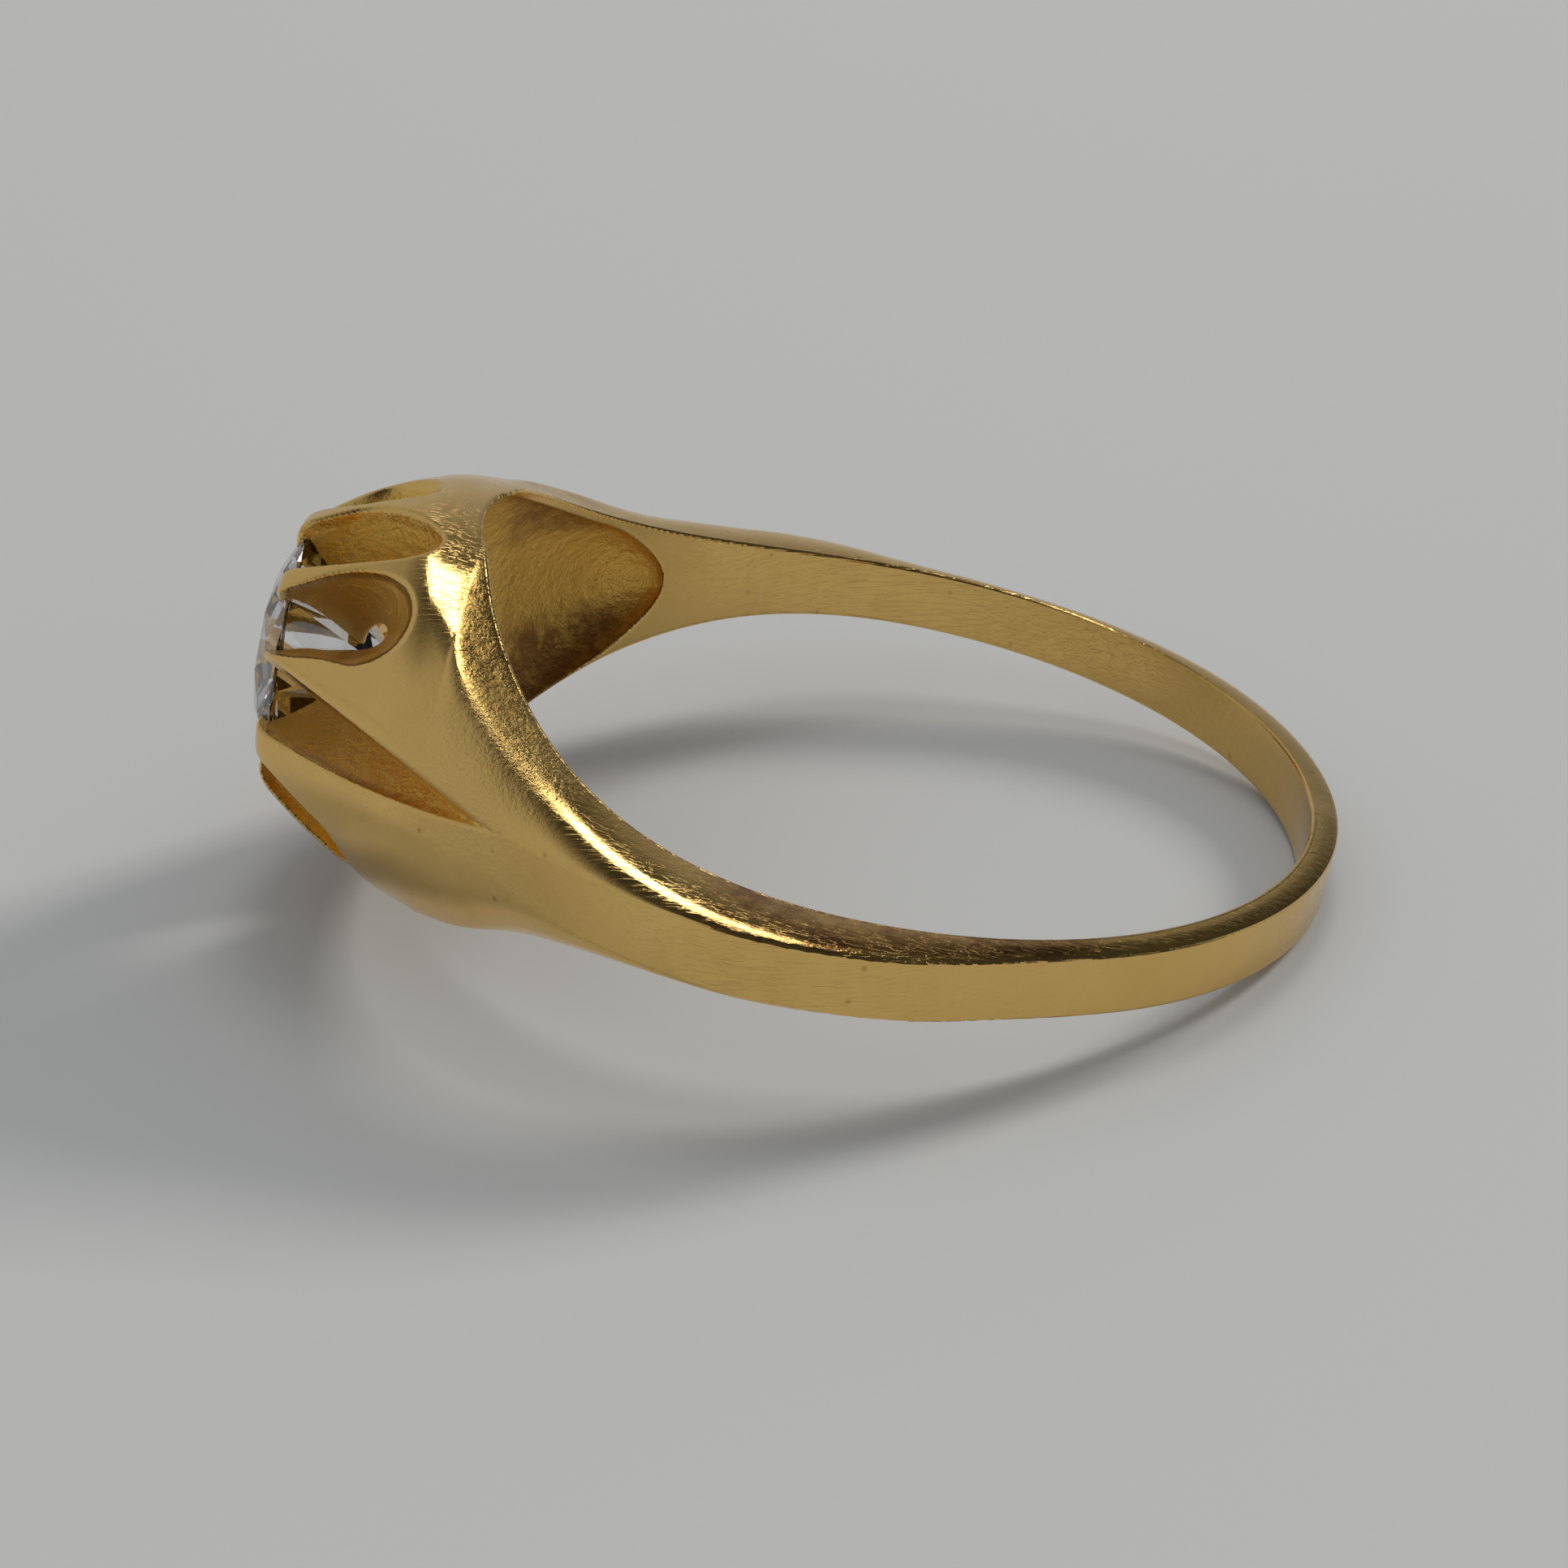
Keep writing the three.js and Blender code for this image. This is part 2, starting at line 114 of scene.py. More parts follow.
# The stone
GIRDLE = TIP - 0.22
CROWN = 0.5
PAVILION = 2.06
GIRDLE_THICK = 0.08
TABLE_SHARE = 0.62
STAR_SHARE = 0.55
LOWER_SHARE = 0.77
SIDES = 8
STONE_STEPS = 96
SEAT_ROOM = 0.012

# Gaps cut by hand between the claws of the head: middle in degrees round the stone from the top towards
# the camera, its lean at the tips and at the floor, spare claw width, depth, straight part, exponent
HEAD_GAPS = [
    (20.0, -0.5, 4.5, 0.00, 3.00, 1.17, 1.4),
    (53.7, 3.8, -1.2, 0.13, 2.64, 1.52, 1.7),
    (131.0, -1.5, 10.0, 0.22, 2.50, 1.40, 1.6),
    (163.0, 0.0, 2.0, 0.05, 2.90, 1.30, 1.5),
    (197.0, 0.0, -3.0, 0.03, 3.00, 1.30, 1.5),
    (233.0, -2.0, 2.0, 0.10, 2.70, 1.50, 1.7),
    (306.0, -2.0, 2.0, 0.12, 2.65, 1.50, 1.7),
    (344.0, -8.0, 5.0, 0.02, 2.62, 1.30, 1.5),
]
CLAW_HALF = 0.14
PITCH = 2 * PI / 10
FLOOR_SLOPE = 0.3
GAP_INNER = 0.6
GAP_EDGE = 0.12
LEAN_LONG = 1.3
GAP_REACH = 2

# Gap in each shoulder: its upper edge (height, rise, where that height is), its lower edge (depth, curve,
# where it is lowest), the slope of its floor and the chamfer under its upper edge
SHOULDER_UP = (0.40, 0.117, 7.19)
SHOULDER_LOW = (-0.66, 0.04, 12.2)
SHOULDER_TILT = 0.5
SHOULDER_CHAMFER = 0.27
SHOULDER_EDGE = 0.07

# The hollow under the stone and the scooped shoulders
RIM_WALL = 0.2
CLAW_WALL = 1.2
HOLLOW_STRAIGHT = 1.25
HOLLOW_DOME = 0.95
SCOOP_APEX = math.radians(128.6)
SCOOP_ROUND = math.radians(12)
SCOOP_RIM = 0.3
SCOOP_DEPTH = 0.8
HOLLOW_OPEN = 2
HOLLOW_SOFT = 0.5
HOLLOW_EDGE = 0.08
HEAD_FROM = 5.0
BORE_FADE = (0.03, 0.1)

# Solder seams
SEAM = math.radians(112)
SEAM_HALF = 0.05
SEAM_ZONE = 1

# The grid: cell size and its share by angle, the room round the surface, and how the points settle on it
CELL = 0.05
CELLS_ROUND = 10.0
COARSER = 2.5
INNER_ROOM = 2.5
OUTER_ROOM = 3
GRID_LOW = -4.6
GRID_HIGH = 4.4
HEAD_ANGLE = math.radians(135)
BAND_ROOM = 0.25
CHUNK = 400000
GRADIENT_STEP = 0.004
SETTLE_ROUNDS = 3
SETTLE_SHARE = 0.5
FLAT_SLOPE = 0.05
SHARP_TURN = math.cos(math.radians(50))


def smooth(a, b, v):
    t = np.clip((v - a) / (b - a), 0, 1)
    return t * t * (3 - 2 * t)


def smax(a, b, k):
    h = np.maximum(k - np.abs(a - b), 0) / k
    return np.maximum(a, b) + h * h * k / 4


def smin(a, b, k):
    return -smax(-a, -b, k)


def lower_rim(angle):
    """Half height of the lower edge at the finger hole, which is cut back under the head."""
    t = np.maximum(0, (angle - FLARE_START) / (PI - FLARE_START))
    return BAND_HALF + LOWER_RIM[0] * (1 - np.cos(PI * t ** LOWER_RIM[1])) / 2


def rim_half(angle, form):
    """Half height of the upper edge at the finger hole."""
    t = np.maximum(0, (angle - FLARE_START) / (PI - FLARE_START))
    flared = BAND_HALF + (form[0] - BAND_HALF) * (1 - np.cos(PI * t ** form[2])) / 2
    return smin(flared, form[0] - form[3], RIM_SOFT)


def outline_radius(angle, far=0.0):
    """Radius of the ring seen along the finger, from the band to the claw tips."""
    swell = smooth(*SWELL, angle) * (1 - far) + smooth(*SWELL_FAR, angle) * far
    circle = BACK_RADIUS + (SHOULDER_RADIUS - BACK_RADIUS) * swell
    return circle / np.cos(np.clip(angle - TANGENT, 0, TIP_ANGLE - TANGENT))


def profile(s, form):
    """Half height of the head at the distance s from the middle of the finger hole."""
    t = (s - BORE) / (TIP - BORE)
    deep = form[0] - rim_half(np.float64(PI), form)
    droop = deep * (1 - smooth(*DROOP_TURN, t)) / (1 - smooth(*DROOP_TURN, 0))
    return form[0] + (CLAW_RING - form[0]) * t + form[1] * 4 * t * (1 - t) - droop


def side_half(s):
    """Half width of the head and shoulders: an arc, then a straight line to the claw tips."""
    limit = SHOULDER_RADIUS * math.cos(PI - TANGENT)
    line = CLAW_RING + (TIP - s) / math.tan(PI - TANGENT)
    arc = np.sqrt(np.maximum(0, SHOULDER_RADIUS ** 2 - np.minimum(s, limit) ** 2))
    return np.where(s <= limit, arc, line)


def rounded(p, q, a, b, n):
    """Distance to the curve p^n + q^n = 1, whose half axes are a and b."""
    p = np.maximum(p, 0)
    q = np.maximum(q, 0)
    g = (p ** n + q ** n) ** (1 / n) + 1e-9
    slope = np.hypot((p / g) ** (n - 1) / a, (q / g) ** (n - 1) / b)
    return (g - 1) / np.maximum(slope, TINY)


def face_half(s, far):
    """Half height of the flat outer face, which is lowest where the shoulder meets the head."""
    dip = 1 - FACE_DIP * np.exp(-((s - FACE_DIP_AT) / FACE_DIP_LONG) ** 2)
    return (FACE_HALF - FACE_FAR * far * smooth(*FACE_FAR_TURN, s)) * dip


def outer_form(angle, r, s, y, az, form, far):
    """Distance outside the ring's outer form, for points whose half height is az."""
    crest_rise = CREST_RISE * (1 - far) if form is HEAD_TOP else 0.0
    rim = rim_half(angle, form) + crest_rise
    wall = outline_radius(angle, far) - BORE
    face = face_half(s, far)
    full = FULLNESS[0] + (FULLNESS[1] - FULLNESS[0]) * smooth(FULLNESS_TURN[0], FULLNESS_TURN[1], angle)
    full = full + (FULLNESS[2] - FULLNESS[1]) * smooth(FULLNESS_TURN[2], FULLNESS_TURN[3], angle)
    band = rounded((r - BORE) / wall, (az - face) / (rim - face), wall, rim - face, full)
    inside = np.minimum(s, BORE)
    rim_side = np.sqrt(np.maximum(BORE ** 2 - inside ** 2, 0))
    limit = side_half(s)
    rise = crest_rise * (1 - smooth(BORE - CREST_FADE, BORE, s))
    beside = rim_half(np.arccos(np.clip(-inside / BORE, -1, 1)), form) + rise
    top = np.where(s >= BORE, profile(s, form), beside)
    width = np.maximum(limit - rim_side, LEAST)
    height = (az - face) / (top - face)
    shoulder = rounded((y - rim_side) / width, height, width, top - face, full)
    squares = np.maximum(y * y - rim_side ** 2, 0) / np.maximum(limit ** 2 - rim_side ** 2, LEAST)
    head = rounded(np.sqrt(squares), height, limit, top - face, 2.0)
    turned = shoulder + (head - shoulder) * smooth(*FORM_TURN, s)
    share = smooth(*SECTION_TURN, angle)
    return band + (turned - band) * share


def head_gap(rho, psi, s, gap):
    """Distance outside one gap between two claws of the head."""
    middle, tip_lean, root_lean, spare, depth, straight, power = gap
    outside = s
    radial = rho
    for _ in range(3):
        s = outside - FLOOR_SLOPE * (profile(np.clip(s, BORE, TIP), HEAD_TOP) - radial)
    lean = tip_lean * smooth(TIP - LEAN_LONG, TIP, s)
    lean = lean + root_lean * (1 - smooth(TIP - depth, TIP - straight, s))
    turn = psi - np.radians(middle + lean)
    across = np.abs(rho * np.sin(turn))
    radial = rho * np.cos(turn)
    apex = CLAW_HALF / math.sin(PITCH / 2)
    surface = profile(np.clip(s, TIP - straight, TIP), HEAD_TOP)
    half = surface * math.tan(PITCH / 2) - CLAW_HALF - spare
    half = half * np.maximum(radial - apex, 0.05) / (surface - apex)
    fall = np.maximum(0, (TIP - straight - s) / (depth - straight))
    g = np.sqrt((across / half) ** 2 + fall ** power) + 1e-9
    slope = np.hypot(across / half ** 2 / g, power * fall ** (power - 1) / (2 * g * (depth - straight)))
    d = (g - 1) / np.maximum(slope, TINY)
    return np.maximum(np.clip(d, -GAP_REACH, GAP_REACH), GAP_INNER - radial)


def shoulder_gap(y, z, s):
    """Distance outside the pointed gap in one shoulder, for points whose distance to the side is y."""
    inward = np.maximum(side_half(s) - y, 0)
    run = SHOULDER_TILT / math.tan(PI - TANGENT)
    s = (s + SHOULDER_TILT * (y - CLAW_RING) - run * TIP) / (1 - run)
    crease = SHOULDER_UP[0] + SHOULDER_UP[1] * (s - SHOULDER_UP[2])
    below = SHOULDER_LOW[2] - s
    low = (SHOULDER_LOW[0] + SHOULDER_LOW[1] * below ** 2 - z) / np.hypot(1, 2 * SHOULDER_LOW[1] * below)
    up = np.minimum((z - crease + inward) / math.sqrt(2), z - crease + SHOULDER_CHAMFER)
    return np.maximum(np.maximum(up, low), GAP_INNER - y)


def hollow_and_scoops(r, angle, z, s, rho):
    """Distance outside the hollow under the stone and the scooped shoulders that run into it."""
    up = np.clip(s, BORE, BORE + HOLLOW_STRAIGHT)
    wall = RIM_WALL + (CLAW_WALL - RIM_WALL) * (up - BORE) / HOLLOW_STRAIGHT
    wide = profile(up, HEAD_TOP) - wall
    hollow = rounded(rho / wide, (s - BORE - HOLLOW_STRAIGHT) / HOLLOW_DOME, wide, HOLLOW_DOME, 2.0)
    hollow = np.maximum(hollow, BORE - HOLLOW_OPEN - s)
    t = np.clip((angle - SCOOP_APEX) / SCOOP_ROUND, 0, 1)
    full = np.sqrt(np.maximum(1 - (1 - t) ** 2, 0))
    depth = SCOOP_DEPTH * full + 1e-3
    high = np.maximum((rim_half(angle, HEAD_TOP) - SCOOP_RIM) * full, 1e-3)
    g = np.sqrt(np.maximum(r - BORE, 0) ** 2 / depth ** 2 + z ** 2 / high ** 2)
    scoop = (g - 1) * np.minimum(depth, high)
    scoop = np.maximum(scoop, (SCOOP_APEX - angle) * r)
    return smin(hollow, scoop, HOLLOW_SOFT)


def stone_seat(s, rho):
    """Distance outside the room that the stone takes between the claws."""
    crown_slope = CROWN / (STONE_RADIUS * (1 - TABLE_SHARE))
    crown = s - GIRDLE - GIRDLE_THICK / 2 + (rho - STONE_RADIUS) * crown_slope
    crown = crown / math.hypot(1, crown_slope)
    pavilion_slope = PAVILION / STONE_RADIUS
    pavilion = GIRDLE - GIRDLE_THICK / 2 - s + (rho - STONE_RADIUS) * pavilion_slope
    pavilion = pavilion / math.hypot(1, pavilion_slope)
    return np.maximum(np.maximum(crown, pavilion), rho - STONE_RADIUS) - SEAT_ROOM


def gold_field(x, y, z):
    """Negative inside the gold, and about the distance to its surface in millimetres."""
    r = np.hypot(x, y)
    angle = np.arctan2(np.abs(y), x)
    s = -x
    ay = np.abs(y)
    az = np.abs(z)
    far = smooth(*FAR_TURN, y)
    top = outer_form(angle, r, s, ay, az, HEAD_TOP, far)
    low = outer_form(angle, r, s, ay, az, HEAD_BELLY, far)
    d = np.where(z > 0, top, low)
    inner = np.where(z > 0, rim_half(angle, HEAD_TOP), lower_rim(angle))
    cut_back = INNER_SLOPE + (LOWER_SLOPE - INNER_SLOPE) * smooth(*LOWER_TURN, angle)
    steep = np.where(z > 0, INNER_SLOPE, cut_back)
    d = smax(d, (az - inner - steep * (r - BORE)) / np.hypot(1, steep), INNER_SOFT)
    d = smax(d, BORE - r, RIM_EDGE)
    table = REST_HEIGHT - x * REST_SIN + z * REST_COS
    d = np.maximum(d, -table)
    head = s > HEAD_FROM
    if head.any():
        hs, hy, hz = s[head], y[head], z[head]
        hd = smax(d[head], hs - TIP, TIP_SOFT)
        rho = np.hypot(hy, hz)
        psi = np.arctan2(-hy, hz)
        hd = smax(hd, -hollow_and_scoops(r[head], angle[head], hz, hs, rho), HOLLOW_EDGE)
        for gap in HEAD_GAPS:
            hd = smax(hd, -head_gap(rho, psi, hs, gap), GAP_EDGE)
        hd = smax(hd, -shoulder_gap(np.abs(hy), hz, hs), SHOULDER_EDGE)
        d[head] = np.maximum(hd, -stone_seat(hs, rho))
    return d


def cut_depth(points):
    """How far a point of the surface lies under the outer form, and zero at the finger hole."""
    x, y, z = points.T
    r = np.hypot(x, y)
    angle = np.arctan2(np.abs(y), x)
    far = smooth(*FAR_TURN, y)
    top = outer_form(angle, r, -x, np.abs(y), np.abs(z), HEAD_TOP, far)
    low = outer_form(angle, r, -x, np.abs(y), np.abs(z), HEAD_BELLY, far)
    under = -np.maximum(np.where(z > 0, top, low), -x - TIP)
    return np.clip(under, 0, 1) * smooth(*BORE_FADE, r - BORE)


def field_in_chunks(points):
    out = np.empty(len(points))
    for i in range(0, len(points), CHUNK):
        p = points[i:i + CHUNK]
        out[i:i + CHUNK] = gold_field(p[:, 0], p[:, 1], p[:, 2])
    return out


def gradient(points):
    cols = []
    for axis in range(3):
        offset = np.zeros(3)
        offset[axis] = GRADIENT_STEP
        ahead = field_in_chunks(points + offset)
        behind = field_in_chunks(points - offset)
        cols.append((ahead - behind) / (2 * GRADIENT_STEP))
    return np.stack(cols, axis=1)


def grid_angles(cell):
    """Angles of the grid round the finger hole: coarse at the back of the band, fine at the head."""
    fine = cell / CELLS_ROUND
    back = np.arange(0, SEAM, COARSER * fine)
    front = np.arange(SEAM, PI, fine)
    half = np.concatenate([back, front])
    return np.concatenate([half, [PI], (2 * PI - half[1:])[::-1]])


def sample_gold(angles, radii, heights, cell):
    """Field values on the grid, worked out only near the gold."""
    folded = np.minimum(angles, 2 * PI - angles)
    values = np.full((len(angles), len(radii), len(heights)), 1.0, np.float32)
    margin = OUTER_ROOM * cell
    reach = np.minimum(outline_radius(folded), TIP / np.maximum(np.cos(PI - folded), 0.2))
    reach = np.where(folded < TIP_ANGLE, outline_radius(folded), reach) + margin
    high = np.where(folded > HEAD_ANGLE, GRID_HIGH, rim_half(folded, HEAD_BELLY) + BAND_ROOM)
    high = high + margin
    for i, angle in enumerate(angles):
        jr = np.nonzero(radii < reach[i])[0]
        kz = np.nonzero(np.abs(heights) < high[i])[0]
        rr, zz = np.meshgrid(radii[jr], heights[kz], indexing="ij")
        x = rr.ravel() * math.cos(angle)
        y = rr.ravel() * math.sin(angle)
        block = gold_field(x, y, zz.ravel()).reshape(rr.shape)
        values[i, jr[0]:jr[-1] + 1, kz[0]:kz[-1] + 1] = block
    return values


def crossing_middles(values, ci, cj, ck):
    """Middle of the places where the surface crosses each cell's edges, as shares of the cell."""
    na = values.shape[0]
    steps = [(da, dr, dz) for da in (0, 1) for dr in (0, 1) for dz in (0, 1)]
    corner = np.stack([values[(ci + da) % na, cj + dr, ck + dz] for da, dr, dz in steps], axis=1)
    corner_at = np.array(steps, float)
    total = np.zeros((len(ci), 3))
    hits = np.zeros(len(ci))
    for a in range(8):
        for b in range(a + 1, 8):
            if np.abs(corner_at[a] - corner_at[b]).sum() != 1:
                continue
            va, vb = corner[:, a], corner[:, b]
            cross = (va < 0) != (vb < 0)
            t = np.where(cross, va / np.where(cross, va - vb, 1), 0)
            total += cross[:, None] * (corner_at[a] + t[:, None] * (corner_at[b] - corner_at[a]))
            hits += cross
    return total / hits[:, None]


def net_faces(inside, number):
    """Quads between the cells on both sides of each crossed edge, along the angle, radius and height."""
    na = len(inside)
    quads = []
    ahead = np.roll(inside, -1, axis=0)
    i, j, k = np.nonzero(inside[:, 1:-1, 1:-1] != ahead[:, 1:-1, 1:-1])
    flip = inside[i, j + 1, k + 1]
    q = [number[i, j, k], number[i, j + 1, k], number[i, j + 1, k + 1], number[i, j, k + 1]]
    quads.append((flip, np.stack(q, axis=1)))
    i, j, k = np.nonzero(inside[:, :-1, 1:-1] != inside[:, 1:, 1:-1])
    flip = inside[i, j, k + 1]
    p = (i - 1) % na
    q = [number[p, j, k], number[p, j, k + 1], number[i, j, k + 1], number[i, j, k]]
    quads.append((flip, np.stack(q, axis=1)))
    i, j, k = np.nonzero(inside[:, 1:-1, :-1] != inside[:, 1:-1, 1:])
    flip = inside[i, j + 1, k]
    p = (i - 1) % na
    q = [number[p, j, k], number[i, j, k], number[i, j + 1, k], number[p, j + 1, k]]
    quads.append((flip, np.stack(q, axis=1)))
    faces = np.concatenate([np.where(flip[:, None], q, q[:, ::-1]) for flip, q in quads])
    return faces[(faces >= 0).all(axis=1)]


def settle(points, cell):
    """Moves points onto the surface along the field's slope."""
    for _ in range(SETTLE_ROUNDS):
        d = field_in_chunks(points)
        slope = gradient(points)
        move = -(d / np.maximum((slope ** 2).sum(axis=1), FLAT_SLOPE))[:, None] * slope
        length = np.linalg.norm(move, axis=1, keepdims=True)
        points = points + move * np.minimum(1, SETTLE_SHARE * cell / np.maximum(length, 1e-9))
    return points


def grow_gold(cell):
    """Surface nets of the gold field on a grid of angle, radius and height round the finger hole."""
    angles = grid_angles(cell)
    outermost = TIP / math.cos(PI - TIP_ANGLE) + OUTER_ROOM * cell
    radii = np.arange(BORE - INNER_ROOM * cell, outermost, cell)
    heights = np.arange(GRID_LOW, GRID_HIGH, cell)
    values = sample_gold(angles, radii, heights, cell)
    inside = values < 0
    na, nr, nz = values.shape
    count = np.zeros((na, nr - 1, nz - 1), np.int8)
    for da in (0, 1):
        rolled = np.roll(inside, -da, axis=0)
        for dr in (0, 1):
            for dz in (0, 1):
                count += rolled[:, dr:nr - 1 + dr, dz:nz - 1 + dz]
    active = (count > 0) & (count < 8)
    ci, cj, ck = np.nonzero(active)
    number = np.full(active.shape, -1, np.int64)
    number[ci, cj, ck] = np.arange(len(ci))
    share = crossing_middles(values, ci, cj, ck)
    wide = np.append(angles, 2 * PI)
    angle = wide[ci] + share[:, 0] * (wide[ci + 1] - wide[ci])
    radius = radii[cj] + share[:, 1] * cell
    height = heights[ck] + share[:, 2] * cell
    points = np.stack([radius * np.cos(angle), radius * np.sin(angle), height], axis=1)
    return settle(points, cell), net_faces(inside, number)


def facet_plane(a, b, c):
    normal = (Vector(b) - Vector(a)).cross(Vector(c) - Vector(a)).normalized()
    return (Vector(a), normal if normal.dot(Vector(a)) > 0 else -normal)


def brilliant():
    """Round brilliant cut from a cylinder: girdle at zero, table upwards, in millimetres."""
    step = 2 * PI / SIDES
    edge = GIRDLE_THICK / 2
    table = STONE_RADIUS * TABLE_SHARE
    narrow = math.cos(step / 2)
    star = (STONE_RADIUS - (STONE_RADIUS - table) * STAR_SHARE) / narrow
    half = STONE_RADIUS * (1 - LOWER_SHARE) / narrow

    def at(radius, turns, height):
        return (radius * math.cos(turns * step), radius * math.sin(turns * step), height)

    planes = [(Vector((0, 0, CROWN + edge)), Vector((0, 0, 1)))]
    for k in range(SIDES):
        corner = at(table, k, CROWN + edge)
        peak = at(star, k + 0.5, CROWN * STAR_SHARE + edge)
        deep = at(half, k + 0.5, -PAVILION * LOWER_SHARE - edge)
        culet = (0, 0, -PAVILION - edge)
        planes.append(facet_plane(corner, at(table, k + 1, CROWN + edge), peak))
        planes.append(facet_plane(corner, peak, at(STONE_RADIUS, k, edge)))
        planes.append(facet_plane(culet, deep, at(STONE_RADIUS, k, -edge)))
        for turns in (k, k + 0.5):
            for point, side in ((peak, edge), (deep, -edge)):
                here = at(STONE_RADIUS, turns, side)
                planes.append(facet_plane(point, here, at(STONE_RADIUS, turns + 0.5, side)))
    bm = bmesh.new()
    bmesh.ops.create_cone(bm, cap_ends=True, segments=STONE_STEPS, radius1=STONE_RADIUS,
                          radius2=STONE_RADIUS, depth=4 * PAVILION)
    for co, no in planes:
        everything = bm.verts[:] + bm.edges[:] + bm.faces[:]
        cut = bmesh.ops.bisect_plane(bm, geom=everything, plane_co=co, plane_no=no, dist=TINY,
                                     clear_outer=True)
        edges = [e for e in cut["geom_cut"] if isinstance(e, bmesh.types.BMEdge)]
        bmesh.ops.contextual_create(bm, geom=edges)
    bmesh.ops.recalc_face_normals(bm, faces=bm.faces[:])
    return bm


def new_object(name, data):
    ob = bpy.data.objects.new(name, data)
    bpy.context.scene.collection.objects.link(ob)
    return ob


def cut_at_seams(points, quads):
    """Cuts the gold on both sides of both solder seams, and gives its points and polygons."""
    mesh = bpy.data.meshes.new("whole")
    mesh.from_pydata(points.tolist(), [], quads.tolist())
    bm = bmesh.new()
    bm.from_mesh(mesh)
    bpy.data.meshes.remove(mesh)
    for side in (1, -1):
        for offset in (-SEAM_HALF, SEAM_HALF):
            toward = Vector((math.cos(SEAM), side * math.sin(SEAM), 0))
            normal = Vector((-math.sin(SEAM), side * math.cos(SEAM), 0))
            co = normal * offset
            beside = [v for v in bm.verts if v.co.dot(toward) > 0]
            beside = [v for v in beside if abs(v.co.dot(normal) - offset) < SEAM_ZONE]
            faces = {f for v in beside for f in v.link_faces}
            edges = {e for f in faces for e in f.edges}
            verts = {v for f in faces for v in f.verts}
            bmesh.ops.bisect_plane(bm, geom=list(verts) + list(edges) + list(faces), plane_co=co,
                                   plane_no=normal, dist=1e-5)
    bm.verts.index_update()
    co = np.array([v.co[:] for v in bm.verts])
    polygons = [[v.index for v in f.verts] for f in bm.faces]
    bm.free()
    return co, polygons


def piece_of(centre):
    """Which piece a polygon belongs to, by the middle of the polygon."""
    side = np.sign(centre[:, 1])
    across = -math.sin(SEAM) * centre[:, 0] + math.cos(SEAM) * np.abs(centre[:, 1])
    head = across > SEAM_HALF
    shank = across < -SEAM_HALF
    return np.where(head, 0, np.where(shank, 1, np.where(side > 0, 2, 3)))


def closed_mesh(name, co, polygons):
    """Mesh of one piece with its cut ends closed, and the number of its polygons before that."""
    used = sorted({i for p in polygons for i in p})
    number = {v: i for i, v in enumerate(used)}
    bm = bmesh.new()
    verts = [bm.verts.new(co[i]) for i in used]
    for p in polygons:
        bm.faces.new([verts[number[i]] for i in p])
    skin = len(bm.faces)
    holes = [e for e in bm.edges if len(e.link_faces) == 1]
    if holes:
        bmesh.ops.holes_fill(bm, edges=holes, sides=0)
    mesh = bpy.data.meshes.new(name)
    bm.to_mesh(mesh)
    bm.free()
    return mesh, skin


def read_array(collection, name, kind, width=1):
    values = np.empty(len(collection) * width, kind)
    collection.foreach_get(name, values)
    return values.reshape(-1, width) if width > 1 else values


def dress(name, co, polygons, material):
    """Makes one closed piece with the field's own normals, and puts it into the part's frame."""
    mesh, skin = closed_mesh(name, co, polygons)
    pts = read_array(mesh.vertices, "co", float, 3)
    slope = gradient(pts)
    slope /= np.maximum(np.linalg.norm(slope, axis=1, keepdims=True), 1e-9)
    loops = read_array(mesh.loops, "vertex_index", np.int64)
    totals = read_array(mesh.polygons, "loop_total", np.int64)
    face_normals = read_array(mesh.polygons, "normal", float, 3)
    owner = np.repeat(np.arange(len(totals)), totals)
    normals = slope[loops]
    turned = (normals * face_normals[owner]).sum(axis=1)
    plain = (turned < SHARP_TURN) | (owner >= skin)
    normals = np.where(plain[:, None], face_normals[owner], normals)
    mesh.polygons.foreach_set("use_smooth", np.ones(len(mesh.polygons), bool))
    mesh.normals_split_custom_set(normals.tolist())
    depth = mesh.attributes.new("cut_depth", "FLOAT", "POINT")
    depth.data.foreach_set("value", cut_depth(pts).astype(np.float32))
    mesh.transform(TO_PART)
    mesh.materials.append(material)
    return new_object(name, mesh)


# From the ring's own frame in millimetres to the part's frame in metres
TO_PART = Matrix.Scale(MM, 4) @ Matrix.Translation(RING_ORIGIN) @ Matrix.Rotation(REST_TILT, 4, "Y")


def to_part(point):
    return TO_PART @ Vector(point)


